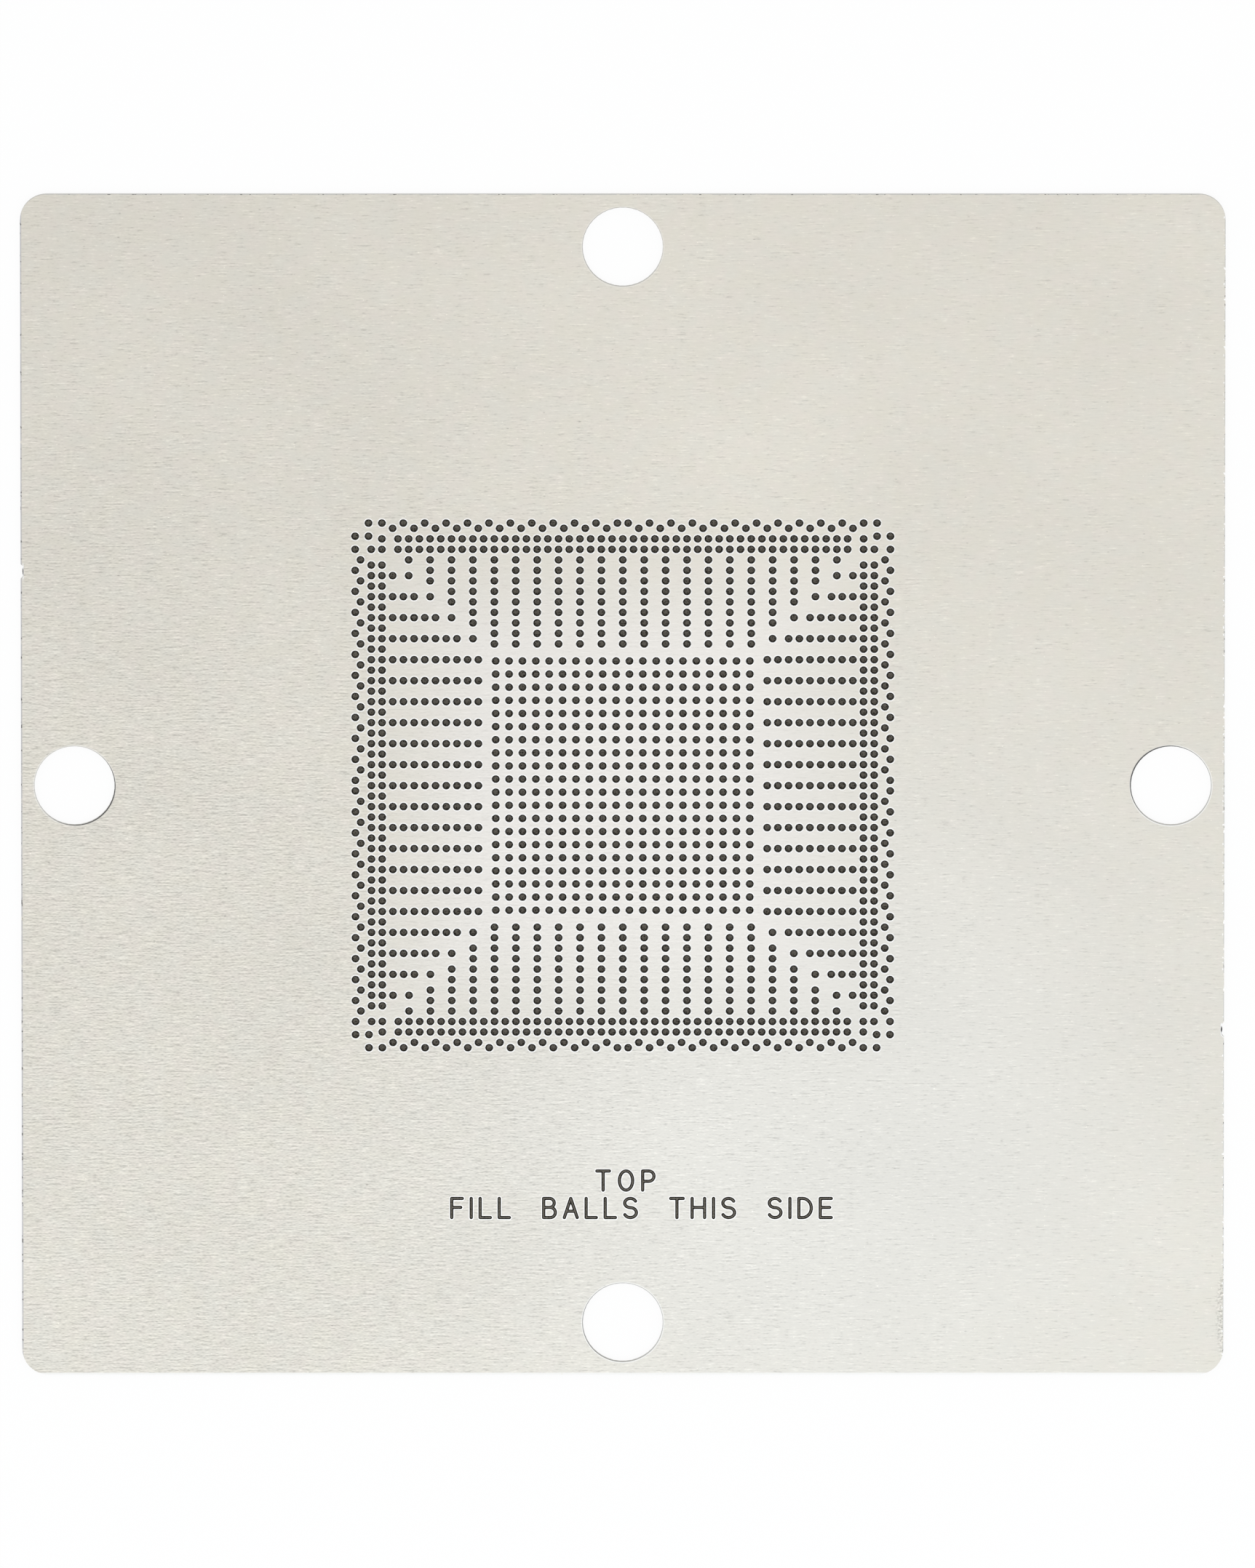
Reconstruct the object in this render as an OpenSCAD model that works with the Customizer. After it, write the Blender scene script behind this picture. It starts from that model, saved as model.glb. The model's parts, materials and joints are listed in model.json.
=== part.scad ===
// Reballing stencil: one square sheet of thin stainless steel. Solder balls are brushed over it and drop
// through its apertures, one ball to each pad of the chip that lies below.
// All lengths are millimetres. The sheet lies flat with the middle of its underside at the origin.
// +Z is its upper side, +X runs to the right and +Y runs to the far edge.

/* [Sheet] */
// Length of each side of the square sheet
sheet_side = 90; // [70:1:120]
// Thickness of the steel
sheet_t = 0.3; // [0.1:0.05:0.6]
// Radius of the rounded corners
corner_r = 2; // [0.5:0.1:6]

/* [Locating holes] */
// Diameter of the hole at the middle of each edge
locating_d = 6; // [3:0.1:8]
// Metal left between a locating hole and its edge
locating_web = 1; // [0.5:0.1:4]

/* [Apertures] */
// Diameter of an aperture, a little over that of the ball
aperture_d = 0.56; // [0.4:0.02:0.64]
// Apertures along each side of the square core grid
core_count = 20; // [4:1:24]
// Pitch of the core grid
core_pitch = 1; // [0.76:0.02:1.2]
// Band without apertures between the core grid and the comb
core_moat = 1.3; // [0.8:0.05:2]
// Pitch along a comb tooth and along a ring
ball_pitch = 0.8; // [0.76:0.02:1]
// Apertures in a full comb tooth, an odd number
tooth_count = 9; // [3:2:13]
// How far the corner apertures stand inside the outermost row
corner_inset = 1; // [0.8:0.05:1.2]

/* [Tab scars] */
// Length along the edge of the notch that each broken tab left
scar_length = 1.16; // [0.7:0.02:2]
// Depth of that notch
scar_depth = 0.18; // [0.1:0.02:0.4]
// Length of the slope at each end of the notch
scar_slope = 0.2; // [0.05:0.01:0.24]
// Width of the torn stub left standing in the notch
stub_width = 0.44; // [0.1:0.02:0.56]
// Height of that stub at its taller end
stub_height = 0.08; // [0.02:0.01:0.09]
// Height of that stub at its lower end
stub_low = 0.05; // [0.01:0.01:0.09]
// Place of the scar on the left edge, from the middle of that edge
left_scar_y = 16.3; // [-20:0.1:20]
// Place of the scar on the right edge, from the middle of that edge
right_scar_y = -18.6; // [-20:0.1:20]

/* [Hidden] */

aperture_fn = 24;
locating_fn = 96;
corner_fn = 96;

quarter_turns = [0:3];
both_ways = [-1, 1];
half_side = sheet_side / 2;
locating_offset = half_side - locating_web - locating_d / 2;

// How far a cut runs past the edge that it opens
overcut = 1;

// Rows of one side, measured from the middle of the sheet: the comb, then a double ring, then a zigzag
core_half = core_pitch * (core_count - 1) / 2;
comb_inner = core_half + core_moat;
comb_outer = comb_inner + ball_pitch * (tooth_count - 1);
ring_inner = comb_outer + ball_pitch;
ring_outer = ring_inner + ball_pitch;
zigzag_inner = ring_outer + ball_pitch;
zigzag_outer = zigzag_inner + ball_pitch / 2;
corner_row = zigzag_outer - corner_inset;

// Comb teeth and zigzag steps are two pitches apart
step = 2 * ball_pitch;

// Copies to either side of the middle that fit between the rows of the neighbouring sides
half_teeth = floor((comb_outer - ball_pitch) / step);
half_ring = floor((ring_inner - ball_pitch) / ball_pitch);
zigzag_inner_last = floor((ring_inner - 1.5 * ball_pitch) / step);
zigzag_outer_last = floor((ring_outer - ball_pitch) / step);

// A tooth loses two apertures for each step that it stands nearer than a full tooth to the diagonal
function apertures_in_tooth(k) = min(tooth_count, 2 * (half_teeth - abs(k)) + 1);
first_short_tooth = half_teeth - (tooth_count - 1) / 2 + 1;

core_grid = [
    for (column = [0:core_count - 1], row = [0:core_count - 1])
        [column * core_pitch - core_half, row * core_pitch - core_half]
];

comb = [
    for (k = [-half_teeth:half_teeth], n = [0:apertures_in_tooth(k) - 1])
        [k * step, comb_outer - n * ball_pitch]
];

// One aperture on the diagonal below each pair of shortened teeth
diagonal = [
    for (k = [first_short_tooth:half_teeth])
        [k * step, k * step]
];

double_ring = [
    for (row = [ring_inner, ring_outer], n = [-half_ring:half_ring])
        [n * ball_pitch, row]
];

zigzag = [
    for (way = both_ways, n = [0:zigzag_outer_last])
        [way * (n * step + ball_pitch / 2), zigzag_outer],
    for (way = both_ways, n = [0:zigzag_inner_last])
        [way * (n * step + 1.5 * ball_pitch), zigzag_inner]
];

// Where the rings of two sides cross, with an outer group of three in place of the last crossing
corner = [
    [ring_inner, ring_inner],
    [ring_outer, ring_inner],
    [ring_inner, ring_outer],
    [corner_row, corner_row],
    [zigzag_outer, corner_row],
    [corner_row, zigzag_outer]
];

one_side = concat(comb, diagonal, double_ring, zigzag, corner);

// The waste outside one rounded corner
module corner_waste() {
    translate([half_side - corner_r, half_side - corner_r])
        difference() {
            square(corner_r + overcut);
            circle(r = corner_r, $fn = corner_fn);
        }
}

module outline() {
    difference() {
        square(sheet_side, center = true);
        for (turn = quarter_turns)
            rotate(90 * turn)
                corner_waste();
    }
}

module locating_holes() {
    for (turn = quarter_turns)
        rotate(90 * turn)
            translate([0, locating_offset])
                circle(d = locating_d, $fn = locating_fn);
}

module apertures(centres) {
    for (centre = centres)
        translate(centre)
            circle(d = aperture_d, $fn = aperture_fn);
}

// A notch in an edge that runs along Y, with the sheet on its +X side
module tab_scar() {
    mouth = scar_length / 2;
    floor_end = mouth - scar_slope;
    stub_foot = stub_width / 2;
    stub_crest = stub_width / 4;
    polygon([
        [-overcut, -mouth],
        [0, -mouth],
        [scar_depth, -floor_end],
        [scar_depth, -stub_foot],
        [scar_depth - stub_low, -stub_crest],
        [scar_depth - stub_height, stub_crest],
        [scar_depth, stub_foot],
        [scar_depth, floor_end],
        [0, mouth],
        [-overcut, mouth]
    ]);
}

module tab_scars() {
    translate([-half_side, left_scar_y])
        tab_scar();
    translate([half_side, right_scar_y])
        rotate(180)
            tab_scar();
}

module stencil_sheet() {
    color("gainsboro")
        linear_extrude(sheet_t)
            difference() {
                outline();
                locating_holes();
                tab_scars();
                apertures(core_grid);
                for (turn = quarter_turns)
                    rotate(90 * turn)
                        apertures(one_side);
            }
}

stencil_sheet();
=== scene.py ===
# %% [markdown]
# A reballing stencil, dressed in Blender
#
# The real object is a square of thin stainless sheet. It is laid over a chip, tiny solder balls are
# brushed across it, and one ball drops through each aperture onto the pad below. The exact solid is
# already in the frame, so this lesson is about looks: the brushed finish, the engraved words, and a
# plain studio round them. The frame is loaded first, because every later size is read from it. It is in
# metres, and a value whose name ends in MM is in millimetres.

# %% Load the frame
import json
import math

import bpy
import numpy as np
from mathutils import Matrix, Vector


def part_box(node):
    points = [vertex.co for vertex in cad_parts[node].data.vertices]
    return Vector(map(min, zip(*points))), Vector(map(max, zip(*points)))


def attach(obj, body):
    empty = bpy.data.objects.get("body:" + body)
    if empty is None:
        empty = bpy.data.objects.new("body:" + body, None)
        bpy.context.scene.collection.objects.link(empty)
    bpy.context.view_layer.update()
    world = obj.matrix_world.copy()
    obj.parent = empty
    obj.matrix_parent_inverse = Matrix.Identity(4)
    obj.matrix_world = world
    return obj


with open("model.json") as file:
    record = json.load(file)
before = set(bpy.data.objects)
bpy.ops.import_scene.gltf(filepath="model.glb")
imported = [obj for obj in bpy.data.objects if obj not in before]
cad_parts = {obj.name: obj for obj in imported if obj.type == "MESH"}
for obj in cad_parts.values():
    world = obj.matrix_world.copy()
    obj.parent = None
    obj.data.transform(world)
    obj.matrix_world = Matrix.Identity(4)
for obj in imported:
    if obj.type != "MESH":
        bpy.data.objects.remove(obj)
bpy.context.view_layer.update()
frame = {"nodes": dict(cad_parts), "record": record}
MM = 0.001

# %% [markdown]
# The sheet is the only piece in the frame, and it stays as it is given. Typing its sizes in again would
# work until the day the sheet changes, so they are measured from its own mesh. The field of apertures is
# found the same way: it reaches to the outermost points that still lie well inside the four locating
# holes.

# %% Measure the sheet
INSIDE_THE_HOLES = 0.7

sheet = frame["nodes"]["stencil_sheet"]
sheet_low, sheet_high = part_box("stencil_sheet")
sheet_side = sheet_high.x - sheet_low.x
half_side = sheet_side / 2
sheet_top = sheet_high.z

points = np.empty(len(sheet.data.vertices) * 3, np.float32)
sheet.data.vertices.foreach_get("co", points)
points = points.reshape(-1, 3)
reach = np.abs(points[:, :2]).max(axis=1)
field_half = float(reach[reach < INSIDE_THE_HOLES * half_side].max())
print("sheet side", round(sheet_side / MM, 2), "mm")
print("field of apertures", round(2 * field_half / MM, 2), "mm")

# %% [markdown]
# The photograph looks almost straight down, and the sheet's edges stay parallel in it, so the lens is
# very long and far away. An orthographic camera would also keep them parallel, but then a view from
# another side could not step back to take in the corners. The sheet looks a little shorter than it is
# wide. That gives the camera's lean: it stands slightly to the far side, and just sees the cut edge
# there. The far edge is then a little closer to the lens and looks further out, so the camera aims
# higher by a small rise.

# %% Camera
PHOTO_WIDTH_PX = 1725
PHOTO_HEIGHT_PX = 2156
SHEET_LEFT_PX = 29.0
SHEET_RIGHT_PX = 1683.0
SHEET_TOP_PX = 267.1
SHEET_BOTTOM_PX = 1890.1
LENS_MM = 1300
SENSOR_MM = 36

pixels_across = (SHEET_RIGHT_PX - SHEET_LEFT_PX) / sheet_side
pixels_down = (SHEET_BOTTOM_PX - SHEET_TOP_PX) / sheet_side
lean = math.acos(pixels_down / pixels_across)
camera_distance = PHOTO_HEIGHT_PX / pixels_across * LENS_MM / SENSOR_MM
rise = half_side**2 * math.sin(lean) / camera_distance
aim = Vector((
    (PHOTO_WIDTH_PX - SHEET_LEFT_PX - SHEET_RIGHT_PX) / 2 / pixels_across,
    (SHEET_TOP_PX + SHEET_BOTTOM_PX - PHOTO_HEIGHT_PX) / 2 / pixels_down + rise,
    sheet_top,
))

scene = bpy.context.scene
lens = bpy.data.cameras.new("camera")
lens.lens = LENS_MM
lens.sensor_width = SENSOR_MM
camera = bpy.data.objects.new("camera", lens)
scene.collection.objects.link(camera)
camera.location = aim + camera_distance * Vector((0, math.sin(lean), math.cos(lean)))
camera.rotation_euler = (-lean, 0, 0)
scene.camera = camera
scene.view_settings.view_transform = "Standard"
print("camera leans", round(math.degrees(lean), 2), "degrees")
print("camera stands", round(camera_distance, 2), "m away")

# %% [markdown]
# Every finish below is a tree of shader nodes. Adding nodes one call at a time makes long scripts, so
# small helpers do it: one adds any node and fills its sockets with numbers or links, one does a sum, and
# one turns a value into a soft step from 0 to 1. They all work on the tree in hand: the room and each
# material begin by setting it.

# %% Helpers for shader nodes
def new_tree(owner):
    """An empty node tree for a material or a world."""
    owner.use_nodes = True
    owner.node_tree.nodes.clear()
    return owner.node_tree


def add(kind, sockets=None, **options):
    """Adds one node to the tree in hand, sets its options and fills its sockets."""
    made = tree.nodes.new("ShaderNode" + kind)
    for name, value in options.items():
        setattr(made, name, value)
    for name, value in (sockets or {}).items():
        if isinstance(value, bpy.types.NodeSocket):
            tree.links.new(value, made.inputs[name])
        else:
            made.inputs[name].default_value = value
    return made


def calc(operation, first, second=0.0):
    """The result of one sum."""
    return add("Math", {0: first, 1: second}, operation=operation).outputs[0]


def soft_step(value, start, end):
    """0 before start and 1 after end. With start above end it falls instead of rising."""
    sockets = {"Value": value, "From Min": start, "From Max": end}
    return add("MapRange", sockets, interpolation_type="SMOOTHSTEP").outputs[0]


print("node helpers ready")

# %% [markdown]
# The background of the photograph is white. More light would make it white too, but it would also wash
# out the steel. Instead the rays that look at the room see white, while the rays that carry light find
# a plain room that is slightly greyer.

# %% White room
ROOM_LEVEL = 0.95
WHITE_LEVEL = 1.0
WHITE = (1.0, 1.0, 1.0, 1.0)


def is_looked_at():
    """1 for a ray that looks, straight or by a mirror or glass, and 0 for one that carries light."""
    rays = add("LightPath").outputs
    seen = calc("MAXIMUM", rays["Is Camera Ray"], rays["Is Glossy Ray"])
    return calc("MAXIMUM", seen, rays["Is Transmission Ray"])


room = bpy.data.worlds.new("white_room")
tree = new_tree(room)
lit = add("Background", {"Color": WHITE, "Strength": ROOM_LEVEL})
seen = add("Background", {"Color": WHITE, "Strength": WHITE_LEVEL})
mixed = add("MixShader", {0: is_looked_at(), 1: lit.outputs[0], 2: seen.outputs[0]})
add("OutputWorld", {"Surface": mixed.outputs[0]})
scene.world = room
print("room light level", ROOM_LEVEL)

# %% [markdown]
# The stencil lies on white paper. A plane with four corners is enough for it, so wide that its edges
# stay out of sight. It lies a hair below the sheet, because two surfaces at one height would show
# through each other. Most of its look is the room's white, and the rest is ordinary paint, which keeps
# the sheet's shadow.

# %% Paper floor
FLOOR_SIZE = 4.0
FLOOR_GAP_MM = 0.02
PAPER = (0.93, 0.93, 0.93, 1.0)
PAPER_GLOW = 0.9


def lay_square(name, size, height, material):
    """A square sheet of the stage, flat at a height."""
    half = size / 2
    mesh = bpy.data.meshes.new(name)
    corners = [(-half, -half, 0), (half, -half, 0), (half, half, 0), (-half, half, 0)]
    mesh.from_pydata(corners, [], [(0, 1, 2, 3)])
    mesh.materials.append(material)
    square = bpy.data.objects.new(name, mesh)
    scene.collection.objects.link(square)
    square.location.z = height


paper = bpy.data.materials.new("paper")
tree = new_tree(paper)
paint = add("BsdfDiffuse", {"Color": PAPER})
glow = add("Emission", {"Color": WHITE, "Strength": WHITE_LEVEL})
share = calc("MULTIPLY", is_looked_at(), PAPER_GLOW)
mixed = add("MixShader", {0: share, 1: paint.outputs[0], 2: glow.outputs[0]})
add("OutputMaterial", {"Surface": mixed.outputs[0]})
lay_square("floor", FLOOR_SIZE, -FLOOR_GAP_MM * MM, paper)
print("floor", FLOOR_SIZE, "m wide")

# %% [markdown]
# Each aperture in the photograph looks through to something dark. Painting the apertures black would be
# wrong from every other side, because they are open holes. A square of dark card under the field does
# what the real surface did. It belongs to the stage, like the floor, and the sheet hides all of it but
# what the apertures show. The foot of each wall is painted darker than the middle, as painted shade, and
# an Ambient Occlusion node finds where the walls stand close. It looks a little to the far side, because
# the camera's lean hides the foot there. A noise mottles the card.

# %% Dark card under the field
CARD_MARGIN_MM = 0.5
CARD_MIDDLE = (0.242, 0.224, 0.191, 1.0)
CARD_FOOT_SHADE = (0.020, 0.017, 0.012, 1.0)
WALL_REACH_MM = 0.18
WALL_SIDE = math.radians(25)
WALL_SAMPLES = 16
OPEN_AT_FOOT = 0.59
OPEN_AT_MIDDLE = 0.83
MOTTLE_MM = 0.12
MOTTLE_DETAIL = 2.0
MOTTLE = 5.2
NOISE_MIDDLE = 0.5


def grain_noise(size_mm, detail):
    """Noise with grains of a size in mm."""
    sockets = {"Vector": add("TexCoord").outputs["Object"], "Scale": 1 / (size_mm * MM), "Detail": detail}
    return add("TexNoise", sockets).outputs[0]


def about_zero(noise):
    """A noise, moved so that its middle is 0."""
    return calc("SUBTRACT", noise, NOISE_MIDDLE)


def mix_colours(factor, under, over, blend_type="MIX"):
    """Two colours, or a colour and a number, mixed or multiplied."""
    sockets = {0: factor, 6: under, 7: over}
    return add("Mix", sockets, data_type="RGBA", blend_type=blend_type).outputs[2]


card = bpy.data.materials.new("dark_card")
tree = new_tree(card)
# The card's colour goes from painted shade at the foot of the walls to its own tone in the middle.
to_the_far_side = add("CombineXYZ", {"Y": math.sin(WALL_SIDE), "Z": math.cos(WALL_SIDE)}).outputs[0]
sockets = {"Distance": WALL_REACH_MM * MM, "Normal": to_the_far_side}
openness = add("AmbientOcclusion", sockets, samples=WALL_SAMPLES).outputs["AO"]
mottle = calc("MULTIPLY", about_zero(grain_noise(MOTTLE_MM, MOTTLE_DETAIL)), MOTTLE)
share = calc("MULTIPLY", soft_step(openness, OPEN_AT_FOOT, OPEN_AT_MIDDLE), calc("ADD", mottle, 1.0))
paint = add("BsdfDiffuse", {"Color": mix_colours(share, CARD_FOOT_SHADE, CARD_MIDDLE)})
add("OutputMaterial", {"Surface": paint.outputs[0]})
card_size = 2 * (field_half + CARD_MARGIN_MM * MM)
lay_square("dark_card", card_size, -FLOOR_GAP_MM / 2 * MM, card)
print("card under the field", round(card_size / MM, 1), "mm wide")

# %% [markdown]
# In a room that is white all round, flat metal has one even tone. The photograph is a little brighter
# and cooler towards the near right corner. A brighter room would lift all of the sheet alike, so a large
# soft lamp does it: it hangs low on that side, so that only that part of the steel mirrors it.

# %% Softbox
SOFTBOX_SIZE = 0.30
SOFTBOX_PLACE = (0.03, -0.24, 0.28)
SOFTBOX_WATTS = 0.178
SOFTBOX_COLOR = (0.72, 0.86, 1.0)

lamp = bpy.data.lights.new("softbox", "AREA")
lamp.size = SOFTBOX_SIZE
lamp.energy = SOFTBOX_WATTS
lamp.color = SOFTBOX_COLOR
softbox = bpy.data.objects.new("softbox", lamp)
scene.collection.objects.link(softbox)
softbox.location = SOFTBOX_PLACE
softbox.rotation_euler = (aim - softbox.location).to_track_quat("-Z", "Y").to_euler()
softbox.visible_camera = False
print("softbox", SOFTBOX_SIZE, "m wide at", SOFTBOX_PLACE)

# %% [markdown]
# The sheet was brushed along one edge before it was cut. A picture of brushed steel could be wrapped
# round it, but it would blur close up. The finish is built from noises instead, in layers that each get
# a cell: the brush dashes, the pits and specks, the patches of tint, and the cut edges. All of them read
# the place on the sheet in millimetres, so that each mark keeps its real size.

# %% Steel: place and direction
WALL_FACING = (0.6, 0.4)
FIELD_EDGE_MM = 0.5
RUBBED_SHARE = 0.4

steel = bpy.data.materials.new("brushed_stainless")
tree = new_tree(steel)
texture = add("TexCoord").outputs
place = add("VectorMath", {0: texture["Object"], "Scale": 1 / MM}, operation="SCALE").outputs[0]
split = add("SeparateXYZ", {0: place}).outputs
place_x, place_y = split["X"], split["Y"]

facing = add("SeparateXYZ", {0: texture["Normal"]}).outputs["Z"]
is_wall = soft_step(calc("ABSOLUTE", facing), *WALL_FACING)

half_side_mm = half_side / MM
field_half_mm = field_half / MM
from_middle = calc("MAXIMUM", calc("ABSOLUTE", place_x), calc("ABSOLUTE", place_y))
in_field = calc("LESS_THAN", from_middle, field_half_mm + FIELD_EDGE_MM)
rubbed = soft_step(from_middle, field_half_mm, RUBBED_SHARE * field_half_mm)
print("steel reads its place in mm, up to", round(half_side_mm, 2), "from the middle")

# %% [markdown]
# Brushing leaves short straight dashes. They are closest and strongest on the left of the sheet, towards
# the near side, where a raking light is painted in, and faint in the field, where the steel was rubbed.
# One even layer would miss both, so two values come first. The first is painted raking light: it falls
# from 1 round the place where that light shows the dashes best to 0 at the far right corner. The second
# says how much the rubbing left over.

# %% Steel: where the dashes are
RAKING_LIGHT_PLACE = (-1.0, -0.6, 0.0)
FULLY_RAKED_MM = 30.0
FAINT_MM = 110.0
FADE_POWER = 1.5
FAINT_SHARE = 0.65
RUBBED_AWAY = 0.6
RUBBED_OUT_MM = (1.0, -3.0)


def distance_to(spot):
    """The distance in mm to a spot that is given in mm."""
    return add("VectorMath", {0: place, 1: spot}, operation="DISTANCE").outputs["Value"]


def evenly(value, low, high, start=0.0, end=1.0):
    """Goes evenly from low to high while the value goes from start to end."""
    sockets = {"Value": value, "From Min": start, "From Max": end, "To Min": low, "To Max": high}
    return add("MapRange", sockets).outputs[0]


most_raked = [share * half_side_mm for share in RAKING_LIGHT_PLACE]
# Painted raking light: the dashes, pits and specks show most round one place near the left and fade away
# from it.
raking_fade = calc("POWER", evenly(distance_to(most_raked), 1.0, 0.0, FULLY_RAKED_MM, FAINT_MM), FADE_POWER)
smoothed = soft_step(from_middle, *[field_half_mm + out for out in RUBBED_OUT_MM])
left_over = evenly(smoothed, 1.0, 1 - RUBBED_AWAY)
raked_and_rubbed = calc("MULTIPLY", evenly(raking_fade, FAINT_SHARE, 1.0), left_over)
print("dashes are deepest at", [round(value, 1) for value in most_raked[:2]], "mm")

# %% [markdown]
# A dash could be a thin strip of mesh, but the sheet has tens of thousands of them. A noise that is
# stretched along the brushing has blobs of that shape. One noise alone looks too regular, so three of
# different lengths are added. Beside each dash the same noise, read a little to one side, is taken away,
# so that a dark dash gets a pale neighbour: painted light and shade, as on the lit and the shaded flank
# of a groove. Making the dashes fainter away from the left would blur them. The real ones stay crisp and
# get fewer, so there a dash shows only where the noise is further from its middle, and a wider noise
# gathers them in clusters.

# %% Steel: brush dashes
DASH_LAYERS = ((0.24, 0.085, 0.36, 0.22), (0.70, 0.115, 0.34, 0.40), (1.80, 0.105, 0.30, 0.34))
LAYER_SHIFT = 17.3
FLANK_AWAY = 1.2
FLANK_SHARE = 0.25
DASH_RANGE = 0.24
CLUSTER_NOISE = {"length": 2.4, "width": 1.2, "shift": 57.7, "detail": 1.0}
CLUSTER_RANGE = (0.38, 0.62)
QUIET = (0.13, 0.07)


def stretched_place(length, width, shift, beside=0.0):
    """The place counted in lengths along the brushing and widths across it, moved by a shift."""
    sockets = {0: place, 1: (1 / length, 1 / width, 1.0), 2: (shift, shift + beside, 0.0)}
    return add("VectorMath", sockets, operation="MULTIPLY_ADD").outputs[0]


def stretched_noise(length, width, shift, detail=0.0, beside=0.0):
    """Noise with blobs so long and so wide in mm, which can be read so many widths to one side."""
    sockets = {"Vector": stretched_place(length, width, shift, beside), "Scale": 1.0, "Detail": detail}
    return add("TexNoise", sockets, noise_dimensions="2D").outputs[0]


clusters = soft_step(stretched_noise(**CLUSTER_NOISE), *CLUSTER_RANGE)
quiet = calc("MULTIPLY", evenly(clusters, *QUIET), calc("SUBTRACT", 1.0, raking_fade))
flank_share = calc("MULTIPLY", raking_fade, FLANK_SHARE)
dashes = 0.0
for length, width, deep_share, faint_share in DASH_LAYERS:
    # The offset copy that is taken away paints a pale neighbour beside each dark dash, as light and shade
    # on a groove's two flanks.
    groove, other_flank = [
        about_zero(stretched_noise(length, width, LAYER_SHIFT * length, beside=beside))
        for beside in (0.0, FLANK_AWAY)
    ]
    layer = calc("SUBTRACT", groove, calc("MULTIPLY", other_flank, flank_share))
    share = evenly(raking_fade, faint_share, deep_share)
    dashes = calc("ADD", dashes, calc("MULTIPLY", layer, share))
dark_dash = soft_step(calc("ADD", dashes, quiet), 0.0, -DASH_RANGE)
bright_dash = soft_step(calc("SUBTRACT", dashes, quiet), 0.0, DASH_RANGE)
print("brush dashes in", len(DASH_LAYERS), "lengths")

# %% [markdown]
# Handling leaves pits and specks far smaller than a millimetre. They could be cut into the mesh one by
# one, but a Voronoi texture scatters them over the whole sheet at once. It gives each cell a centre and
# a random colour: a spot is drawn round the centre, and the colour picks the few cells that get one.

# %% Steel: pits and specks
SPOT_CORE = 0.4


def scattered_spots(cell, radius, share, shift, stretch):
    """Spots of a radius in mm, longer along the brushing, in a share of cells that are so wide in mm."""
    sockets = {"Vector": stretched_place(cell * stretch, cell, shift), "Scale": 1.0}
    cells = add("TexVoronoi", sockets, voronoi_dimensions="2D")
    spot = soft_step(cells.outputs["Distance"], radius / cell, SPOT_CORE * radius / cell)
    chance = add("SeparateColor", {0: cells.outputs["Color"]}).outputs[0]
    return calc("MULTIPLY", spot, calc("LESS_THAN", chance, share))


pits = scattered_spots(cell=1.2, radius=0.055, share=0.09, shift=5.3, stretch=2.2)
specks = scattered_spots(cell=0.8, radius=0.05, share=0.12, shift=71.7, stretch=1.3)
print("pits and specks made")

# %% [markdown]
# The colour of the steel varies slowly. It has faint patches of warmer, cooler and rosier grey. It is
# paler towards the near right, which is a painted highlight, and in the middle it was rubbed paler still
# and more neutral. One colour would look like paint. All of these are mixes of colours that lie close
# together, so that none of the patches has an edge.

# %% Steel: colour
WARM_STEEL = (0.693, 0.660, 0.582, 1.0)
COOL_STEEL = (0.687, 0.660, 0.591, 1.0)
ROSY_STEEL = (0.703, 0.658, 0.592, 1.0)
HIGHLIGHT_STEEL = (0.702, 0.681, 0.630, 1.0)
RUBBED_STEEL = (0.760, 0.730, 0.688, 1.0)
COOL_NOISE = {"length": 2.6, "width": 2.0, "shift": 13.3, "detail": 1.0}
COOL_RANGE = (0.3, 0.7)
ROSY_NOISE = {"length": 1.7, "width": 1.4, "shift": 47.9, "detail": 1.0}
ROSY_RANGE = (0.4, 0.7)
ROSY_SHARE = 0.65
HIGHLIGHT_PLACE_MM = (15.0, -25.0)
HIGHLIGHT_REACH_MM = (43.0, 6.0)

coolness = soft_step(stretched_noise(**COOL_NOISE), *COOL_RANGE)
rosiness = soft_step(stretched_noise(**ROSY_NOISE), *ROSY_RANGE)
# A painted highlight: the steel is paler round a place towards the near right.
painted_highlight = soft_step(distance_to((*HIGHLIGHT_PLACE_MM, sheet_top / MM)), *HIGHLIGHT_REACH_MM)
colour = mix_colours(coolness, WARM_STEEL, COOL_STEEL)
colour = mix_colours(calc("MULTIPLY", rosiness, ROSY_SHARE), colour, ROSY_STEEL)
colour = mix_colours(painted_highlight, colour, HIGHLIGHT_STEEL)
colour = mix_colours(rubbed, colour, RUBBED_STEEL)
print("steel colours mixed")

# %% [markdown]
# Now the marks are laid on that colour. Each could be a colour of its own, but then a later mark would
# hide an earlier one. Here each makes the steel a little darker or brighter, and they add up to one level
# round 1. Wide faint clouds and two sides that are duller than the middle go into it first, then the
# dashes and the spots.

# %% Steel: marks on the colour
CLOUD_NOISE = {"length": 16.0, "width": 11.0, "shift": 31.9, "detail": 1.0}
CLOUD_STRENGTH = 0.07
DULL_LEFT = (8.0, -26.0, -0.055)
DULL_RIGHT = (8.0, 24.0, -0.025)
MARKS = (
    (dashes, 0.13, left_over),
    (dark_dash, -0.19, raked_and_rubbed),
    (bright_dash, 0.135, raked_and_rubbed),
    (pits, -0.28, raked_and_rubbed),
    (specks, 0.24, raked_and_rubbed),
)

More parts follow.
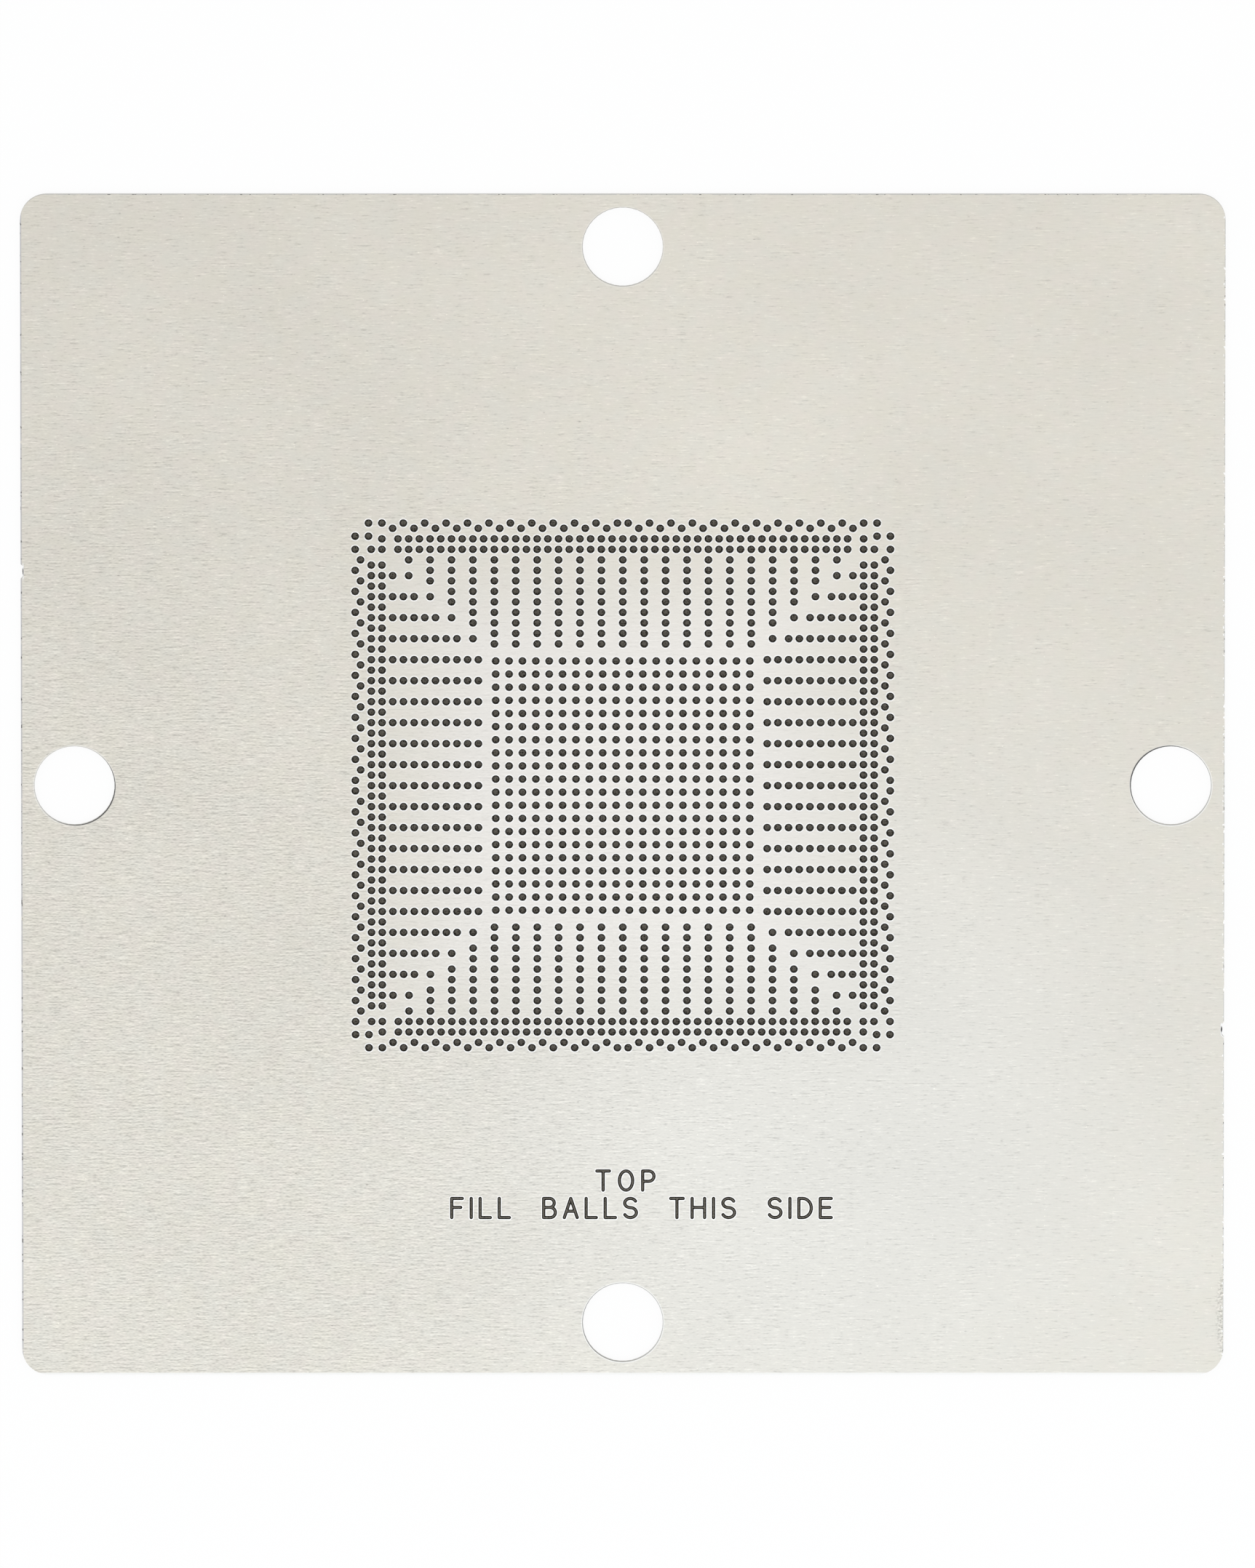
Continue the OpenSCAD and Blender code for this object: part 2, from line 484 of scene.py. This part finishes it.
cloud = about_zero(stretched_noise(**CLOUD_NOISE))
level = calc("ADD", calc("MULTIPLY", cloud, CLOUD_STRENGTH), 1.0)
for start_mm, end_mm, strength in (DULL_LEFT, DULL_RIGHT):
    dull = soft_step(place_x, start_mm, end_mm)
    level = calc("ADD", level, calc("MULTIPLY", dull, strength))
for mark, strength, depth in MARKS:
    deep = calc("MULTIPLY", mark, depth)
    level = calc("ADD", level, calc("MULTIPLY", deep, strength))
print(len(MARKS), "kinds of mark")

# %% [markdown]
# A stretch of the right edge by the near right corner is scuffed. It shows no depth, so it is no change
# of shape: a fine noise is added to the level inside an oval that lies on the edge. With that the level
# is complete, and the colour is multiplied by it.

# %% Steel: scuffed edge
SCUFF_ALONG_MM = -40.4
SCUFF_REACH_MM = (0.7, 4.2)
SCUFF_NOISE = {"length": 0.20, "width": 0.14, "shift": 91.3, "detail": 1.0}
SCUFF_TONE = 0.58
SCUFF_STRENGTH = 1.2


def oval(middle, reach):
    """0 in the middle of an oval and 1 along its outline, rising with the square of the distance."""
    squares = []
    for coordinate, start, length in zip((place_x, place_y), middle, reach):
        away = calc("DIVIDE", calc("SUBTRACT", coordinate, start), length)
        squares.append(calc("POWER", away, 2.0))
    return calc("ADD", *squares)


scuffed = soft_step(oval((half_side_mm, SCUFF_ALONG_MM), SCUFF_REACH_MM), 1.0, 0.0)
scuffs = calc("SUBTRACT", stretched_noise(**SCUFF_NOISE), SCUFF_TONE)
scuffs = calc("MULTIPLY", scuffs, calc("MULTIPLY", scuffed, SCUFF_STRENGTH))
level = calc("ADD", level, scuffs)
colour = mix_colours(1.0, colour, level, "MULTIPLY")
print("scuff", 2 * SCUFF_REACH_MM[1], "mm long")

# %% [markdown]
# The outline was cut last. Each of its edges looks different: a grey line along the left, a thinner one
# along the far edge, broken bits of one on the right, and a pale line along the near edge. The grey lines
# are painted shade and reflection at the edge, and the pale line is a painted highlight. Thin strips of
# mesh would stand up from the steel, so each is a narrow band of colour that reads its distance from the
# edge, with gaps where a noise is low. A second noise sets dark flecks where it is high and, on the right
# alone, bright bits of burr where it is low, which are painted glints.

# %% Steel: outer edges
LEFT_SHADE_LINE = (0.480, 0.470, 0.472, 1.0)
THIN_SHADE_LINE = (0.540, 0.534, 0.500, 1.0)
NEAR_HIGHLIGHT_LINE = (0.790, 0.775, 0.745, 1.0)
RIGHT_BURR_GLINT = (0.900, 0.890, 0.870, 1.0)
RIGHT_BURR_MM = 0.18
FLECK = (0.16, 0.155, 0.15, 1.0)
EDGES = (
    (place_x, -1.0, 0.12, LEFT_SHADE_LINE, 0.30, True),
    (place_x, 1.0, 0.07, THIN_SHADE_LINE, 0.44, True),
    (place_y, 1.0, 0.07, THIN_SHADE_LINE, 0.42, True),
    (place_y, -1.0, 0.20, NEAR_HIGHLIGHT_LINE, 0.22, False),
)
BAND_CORE = 0.5
GAP_NOISE = {"length": 0.9, "width": 0.9, "shift": 23.7, "detail": 2.0}
GAP_SOFTNESS = 0.06
FLECK_NOISE = {"length": 0.3, "width": 0.3, "shift": 61.3, "detail": 1.0}
DARK_FLECK = (0.66, 0.72)
BURR_GLINT_RANGE = (0.38, 0.31)


def edge_band(coordinate, sign, width):
    """1 beside one edge of the sheet, and 0 from a width in mm inwards."""
    inset = calc("SUBTRACT", half_side_mm, calc("MULTIPLY", coordinate, sign))
    return soft_step(inset, width, BAND_CORE * width)


gap_noise = stretched_noise(**GAP_NOISE)
fleck_noise = stretched_noise(**FLECK_NOISE)
dark_flecks = soft_step(fleck_noise, *DARK_FLECK)
burr_glints = soft_step(fleck_noise, *BURR_GLINT_RANGE)
# Painted glints on the burr along the right edge, then painted shade and reflection in the grey lines and
# a painted highlight in the pale near line.
on_the_right = edge_band(place_x, 1.0, RIGHT_BURR_MM)
colour = mix_colours(calc("MULTIPLY", on_the_right, burr_glints), colour, RIGHT_BURR_GLINT)
for coordinate, sign, width, tone, gaps, is_flecked in EDGES:
    in_band = edge_band(coordinate, sign, width)
    present = soft_step(gap_noise, gaps - GAP_SOFTNESS, gaps + GAP_SOFTNESS)
    colour = mix_colours(calc("MULTIPLY", in_band, present), colour, tone)
    if is_flecked:
        colour = mix_colours(calc("MULTIPLY", in_band, dark_flecks), colour, FLECK)
print(len(EDGES), "lines along the edges")

# %% [markdown]
# The locating holes have a thin grey ring round them, which is painted shade, with a pale one outside it,
# which is a painted highlight, and a dark line along a part of their rim, each in another direction. Like
# the lines along the edges they are drawn, not modelled. The dark line is a crescent: what a circle as
# large as the hole covers beside it, when it is set up to a tenth of a millimetre to one side. The holes'
# places and radii are in the frame's record, with the mounts.

# %% Steel: rims of the locating holes
HOLE_RIMS = {
    "locating_hole_left": (-38, 0.09, 0.4),
    "locating_hole_right": (142, 0.10, 0.8),
    "locating_hole_near": (212, 0.03, 0.7),
    "locating_hole_far": (-40, -0.01, 0.25),
}
HALO_HIGHLIGHT = (0.86, 0.85, 0.82, 1.0)
HALO_MM = (0.14, 0.08)
RING_SHADE = (0.34, 0.33, 0.31, 1.0)
RING_MM = (0.07, 0.03)
CRESCENT = (0.07, 0.067, 0.065, 1.0)
CRESCENT_FADE_MM = 0.04

for mount in frame["record"]["mounts"]:
    if mount["name"] not in HOLE_RIMS:
        continue
    degrees, shift_mm, strength = HOLE_RIMS[mount["name"]]
    radius = mount["dims"]["r_mm"]
    middle = Vector(mount["pos_m"]) / MM
    from_hole = distance_to(middle)
    # A painted highlight in the pale halo and painted shade in the grey ring.
    for tone, (outer, inner) in ((HALO_HIGHLIGHT, HALO_MM), (RING_SHADE, RING_MM)):
        band = soft_step(from_hole, radius + outer, radius + inner)
        colour = mix_colours(calc("MULTIPLY", band, strength), colour, tone)
    turn = math.radians(degrees)
    from_circle = distance_to(middle + shift_mm * Vector((math.cos(turn), math.sin(turn), 0)))
    covered = soft_step(from_circle, radius + CRESCENT_FADE_MM, radius - CRESCENT_FADE_MM)
    colour = mix_colours(covered, colour, CRESCENT)
print(len(HOLE_RIMS), "rims drawn")

# %% [markdown]
# The sheet was snapped out of a larger panel, and the notches where its two tabs were are torn and dark.
# The notches are in the solid, and only their look is missing. Their places could be typed in, but they
# can be measured from the mesh: they are the only points of a straight edge that lie a little inside it.
# Round each, an oval that a noise makes ragged is dark inside a bright rim.

# %% Steel: tab scars
TORN_STEEL = (0.045, 0.042, 0.040, 1.0)
TORN_RANGE = (1.8, 1.2)
TORN_RIM = (0.82, 0.81, 0.80, 1.0)
TORN_RIM_RANGE = (3.6, 2.4)
TORN_REACH_MM = {-1: (0.036, 0.44), 1: (0.06, 0.34)}
TORN_NOISE = {"length": 0.08, "width": 0.12, "detail": 1.0}
TORN_SHIFT = 9.1
RAGGED = 1.6
NOTCH_LEAST_MM = 0.01
NOTCH_DEEPEST_MM = 0.4
STRAIGHT_SHARE = 0.8

points_mm = points / MM
on_straight = np.abs(points_mm[:, 1]) < STRAIGHT_SHARE * half_side_mm
for side, torn_reach in TORN_REACH_MM.items():
    inset = half_side_mm - side * points_mm[:, 0]
    notch = points_mm[on_straight & (inset > NOTCH_LEAST_MM) & (inset < NOTCH_DEEPEST_MM)]
    notch_floor = float(side * (side * notch[:, 0]).min())
    notch_middle = float(notch[:, 1].mean())
    raggedness = calc("MULTIPLY", stretched_noise(shift=TORN_SHIFT * side, **TORN_NOISE), RAGGED)
    torn = calc("ADD", oval((notch_floor, notch_middle), torn_reach), raggedness)
    colour = mix_colours(soft_step(torn, *TORN_RIM_RANGE), colour, TORN_RIM)
    colour = mix_colours(soft_step(torn, *TORN_RANGE), colour, TORN_STEEL)
    print("scar at", round(notch_floor, 2), round(notch_middle, 2), "mm")

# %% [markdown]
# The apertures were cut by laser. A cut wall is dark and rough. The rim above it is painted bright, a
# painted highlight along the edge, and between them runs a thin dark lip of painted shade. Rim and lip
# could be modelled as rings of faces for each aperture, but a Bevel node finds every edge by itself: near
# one, the rounded direction that it gives leans away from the flat one. The outer walls were cleaned, and
# are paler.

# %% Steel: cut edges
RIM_MM = 0.17
RIM_SAMPLES = 8
RIM_LEAN = (0.9998, 0.985)
RIM_HIGHLIGHT = (0.99, 0.985, 0.975, 1.0)
LIP_LEAN = (0.90, 0.80)
LIP_SHADE = (0.08, 0.074, 0.064, 1.0)
APERTURE_WALL = (0.09, 0.083, 0.070, 1.0)
OUTER_WALL = (0.55, 0.54, 0.51, 1.0)

rounded = add("Bevel", {"Radius": RIM_MM * MM}, samples=RIM_SAMPLES).outputs[0]
flat = add("NewGeometry").outputs["True Normal"]
likeness = add("VectorMath", {0: rounded, 1: flat}, operation="DOT_PRODUCT").outputs["Value"]
# Near each aperture's edge: a painted highlight on the rim, and painted shade on the lip inside it.
for lean_range, tone in ((RIM_LEAN, RIM_HIGHLIGHT), (LIP_LEAN, LIP_SHADE)):
    near_an_edge = soft_step(likeness, *lean_range)
    colour = mix_colours(calc("MULTIPLY", near_an_edge, in_field), colour, tone)
colour = mix_colours(is_wall, colour, mix_colours(in_field, OUTER_WALL, APERTURE_WALL))
print("rims", RIM_MM, "mm wide")

# %% [markdown]
# The layers end in one metal shader. Brushed metal stretches its highlights across the brushing, which
# is what the anisotropic setting does along the tangent that it is given. The tangent leans upwards, so
# that no cut wall faces straight along it. The dashes also tilt the surface a little through a Bump
# node, because real grooves in the mesh would take millions of faces.

# %% Steel: shader
DASH_HEIGHT_MM = 0.004
RELIEF_STRENGTH = 0.4
FACE_ROUGHNESS = 0.35
WALL_ROUGHNESS = 0.55
DASH_ROUGHNESS = 0.08
HIGHLIGHT_STRETCH = 0.5
ACROSS_BRUSHING = {"X": 0.0, "Y": 1.0, "Z": 0.5}

sockets = {"Strength": RELIEF_STRENGTH, "Distance": DASH_HEIGHT_MM * MM, "Height": dashes}
relief = add("Bump", sockets)
roughness = evenly(is_wall, FACE_ROUGHNESS, WALL_ROUGHNESS)
roughness = calc("ADD", roughness, calc("MULTIPLY", dashes, DASH_ROUGHNESS))
sockets = {
    "Base Color": colour,
    "Metallic": 1.0,
    "Roughness": roughness,
    "Normal": relief.outputs[0],
    "Anisotropic": HIGHLIGHT_STRETCH,
    "Tangent": add("CombineXYZ", ACROSS_BRUSHING).outputs[0],
}
metal = add("BsdfPrincipled", sockets)
add("OutputMaterial", {"Surface": metal.outputs[0]})
sheet.material_slots[0].material = steel
print("steel has", len(tree.nodes), "nodes")

# %% [markdown]
# Two lines are engraved below the field, and say which side is the top and where the balls go in. A Text
# object could write them, but its letters are filled outlines, and engraving has one stroke width and
# round ends. So each letter is a width and a few strokes, written here on a box of height 1 as straight
# runs and arcs.

# %% Letter strokes
BOWL_TURN = 0.7


def arc(middle_x, middle_y, radius_x, radius_y, start, end, steps=14):
    """Points along an arc, from one angle in degrees to another."""
    angles = np.radians(np.linspace(start, end, steps))
    return [(middle_x + radius_x * math.cos(a), middle_y + radius_y * math.sin(a)) for a in angles]


def bowl(width, top, bottom):
    """A stroke that leaves a stem at the top, turns round and comes back to it at the bottom."""
    radius = (top - bottom) / 2
    turn = min(radius, BOWL_TURN * width)
    return [(0, top), *arc(width - turn, top - radius, turn, radius, 90, -90), (0, bottom)]


STEM = [(0, 0), (0, 1)]
LETTERS = {
    "A": (0.66, [[(0, 0), (0.33, 1), (0.66, 0)], [(0.11, 0.33), (0.55, 0.33)]]),
    "B": (0.60, [STEM, bowl(0.54, 1, 0.53), bowl(0.60, 0.53, 0)]),
    "D": (0.64, [STEM, bowl(0.64, 1, 0)]),
    "E": (0.56, [STEM, [(0, 1), (0.56, 1)], [(0, 0.53), (0.48, 0.53)], [(0, 0), (0.56, 0)]]),
    "F": (0.54, [STEM, [(0, 1), (0.54, 1)], [(0, 0.53), (0.46, 0.53)]]),
    "H": (0.64, [STEM, [(0.64, 0), (0.64, 1)], [(0, 0.53), (0.64, 0.53)]]),
    "I": (0.0, [STEM]),
    "L": (0.52, [STEM, [(0, 0), (0.52, 0)]]),
    "O": (0.68, [arc(0.34, 0.5, 0.34, 0.5, 0, 360, 40)]),
    "P": (0.58, [STEM, bowl(0.58, 1, 0.46)]),
    "S": (
        0.62,
        [arc(0.31, 0.76, 0.29, 0.24, 25, 270, 20) + arc(0.31, 0.26, 0.31, 0.26, 90, -155, 20)],
    ),
    "T": (0.64, [[(0, 1), (0.64, 1)], [(0.32, 0), (0.32, 1)]]),
}
print(len(LETTERS), "letters")

# %% [markdown]
# To turn strokes into a surface, a fine grid is laid over each letter and every grid point gets its
# distance to the nearest stroke. Cells within half a stroke's width and the burr are kept, and the
# corners along their rim, which have fewer than four kept cells round them, are pulled onto the true
# outline. Unlike tubes along the strokes, this has no overlaps where strokes meet, and the distance also
# gives the groove its section.

# %% Letters as a mesh
STROKE_MM = 0.25
BURR_MM = 0.06
LETTER_MM = 1.46
CELL_MM = 0.035
TINY = 1e-9


def nearest_on_strokes(spots, strokes):
    """For each spot, its distance to the strokes and the nearest point on them."""
    best = np.full(len(spots), np.inf)
    nearest = np.zeros_like(spots)
    for stroke in strokes:
        ends = np.array(stroke, float) * LETTER_MM
        for start, end in zip(ends[:-1], ends[1:]):
            run = end - start
            along = np.clip((spots - start) @ run / max(run @ run, TINY), 0, 1)
            foot = start + along[:, None] * run
            away = np.linalg.norm(spots - foot, axis=1)
            closer = away < best
            best[closer] = away[closer]
            nearest[closer] = foot[closer]
    return best, nearest


def letter_surface(width, strokes):
    """Points in mm, cells, and the distance of each point from the middle of its stroke."""
    reach = STROKE_MM / 2 + BURR_MM
    columns = np.arange(-2 * reach, width * LETTER_MM + 2 * reach, CELL_MM)
    rows = np.arange(-2 * reach, LETTER_MM + 2 * reach, CELL_MM)
    grid_x, grid_y = np.meshgrid(columns, rows)
    spots = np.column_stack([grid_x.ravel(), grid_y.ravel()])
    index = np.arange(len(spots)).reshape(grid_x.shape)
    corners = [index[:-1, :-1], index[:-1, 1:], index[1:, 1:], index[1:, :-1]]
    cells = np.stack(corners, axis=-1).reshape(-1, 4)
    inside = nearest_on_strokes(spots[cells].mean(axis=1), strokes)[0] < reach
    uses = np.bincount(cells[inside].ravel(), minlength=len(spots))
    away, nearest = nearest_on_strokes(spots, strokes)
    rim = (uses > 0) & (uses < 4)
    outward = (spots - nearest) / np.maximum(away, TINY)[:, None]
    spots[rim] = (nearest + outward * reach)[rim]
    away[rim] = reach
    kept = np.flatnonzero(uses)
    renumber = np.zeros(len(spots), int)
    renumber[kept] = np.arange(len(kept))
    return spots[kept], renumber[cells[inside]], away[kept]


sample = letter_surface(*LETTERS["B"])
print("the letter B has", len(sample[0]), "points and", len(sample[1]), "cells")

# %% [markdown]
# The letters of a line stand side by side. Each takes its own width and a gap, and a blank takes a wider
# one. Each letter could be placed by hand, but then no word could be changed. Each line here gives its
# words and then, in millimetres, the place of its middle and the gap between its letters.

# %% Lines of words
LINES = (("TOP", 0.2, -30.15, 0.75), ("FILL BALLS THIS SIDE", 1.4, -32.25, 0.67))
BLANK_MM = 1.9


def write_line(words, middle_x, middle_y, gap):
    """Each letter's surface, with its left foot in mm, for a line that is centred on a place."""
    steps = [BLANK_MM if c == " " else LETTERS[c][0] * LETTER_MM + gap for c in words]
    left = middle_x - (sum(steps) - gap) / 2
    for letter, step in zip(words, steps):
        if letter != " ":
            yield letter_surface(*LETTERS[letter]), left, middle_y - LETTER_MM / 2
        left += step


letters = [found for line in LINES for found in write_line(*line)]
print(len(letters), "letters placed")

# %% [markdown]
# The letters become one thin object that rides on the sheet. Cutting them into the sheet would change
# the exact solid, which stays as it is. Real engraving throws up a burr on both sides of its groove, so
# the section rises from the steel to the burr and falls again to the middle, all within a hundredth of a
# millimetre, and a Solidify modifier closes it downwards into the steel. Each point also keeps its
# depth, which is 1 in the middle of a stroke, 0 at the crest of the burr and less than 0 beyond it.

# %% Engraved words
SECTION_AWAY_MM = (0.0, STROKE_MM / 4, STROKE_MM / 2, STROKE_MM / 2 + BURR_MM)
SECTION_LIFT_MM = (0.003, 0.003, 0.010, 0.002)
FILM_MM = 0.02

all_points, all_cells, all_depths = [], [], []
for (spots, cells, away), left, foot in letters:
    lift = np.interp(away, SECTION_AWAY_MM, SECTION_LIFT_MM)
    start = sum(len(p) for p in all_points)
    height = sheet_top / MM + lift
    all_points.append(np.column_stack([spots[:, 0] + left, spots[:, 1] + foot, height]) * MM)
    all_cells.append(cells + start)
    all_depths.append(1 - away / (STROKE_MM / 2))

mesh = bpy.data.meshes.new("engraved_words")
mesh.from_pydata(np.concatenate(all_points).tolist(), [], np.concatenate(all_cells).tolist())
depth_layer = mesh.attributes.new("depth", "FLOAT", "POINT")
depth_layer.data.foreach_set("value", np.concatenate(all_depths).astype(np.float32))
words = bpy.data.objects.new("engraved_words", mesh)
scene.collection.objects.link(words)
film = words.modifiers.new("film", "SOLIDIFY")
film.thickness = FILM_MM * MM
film.offset = -1
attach(words, "root")
print("engraving has", len(mesh.polygons), "cells")

# %% [markdown]
# The flanks of the groove are painted nearly black, as painted shade on its slopes, the laser leaves its
# middle grey and grainy, and the burr is painted bright, as a painted highlight. Three materials on three
# strips of faces would have hard borders, so one material reads the depth of each point and mixes the
# three colours, with a noise that makes the middle uneven.

# %% Engraving: finish
BURR_HIGHLIGHT = (0.98, 0.97, 0.95, 1.0)
BURR_RANGE = (0.05, -0.1)
FLANK_SHADE = (0.010, 0.009, 0.007, 1.0)
GROOVE = (0.150, 0.137, 0.115, 1.0)
GROOVE_RANGE = (0.5, 0.85)
GRAIN_MM = 0.11
GRAIN_DETAIL = 3.0
GRAIN_SHARE = 0.8
ENGRAVING_ROUGHNESS = 0.5

engraving = bpy.data.materials.new("laser_engraving")
tree = new_tree(engraving)
depth = add("Attribute", attribute_name="depth").outputs["Fac"]
grain = about_zero(grain_noise(GRAIN_MM, GRAIN_DETAIL))
uneven = calc("ADD", depth, calc("MULTIPLY", grain, GRAIN_SHARE))
# Painted shade on the flanks and a painted highlight on the burr.
colour = mix_colours(soft_step(uneven, *GROOVE_RANGE), FLANK_SHADE, GROOVE)
colour = mix_colours(soft_step(depth, *BURR_RANGE), colour, BURR_HIGHLIGHT)
sockets = {"Base Color": colour, "Metallic": 1.0, "Roughness": ENGRAVING_ROUGHNESS}
burnt = add("BsdfPrincipled", sockets)
add("OutputMaterial", {"Surface": burnt.outputs[0]})
mesh.materials.append(engraving)
print("engraving finished")
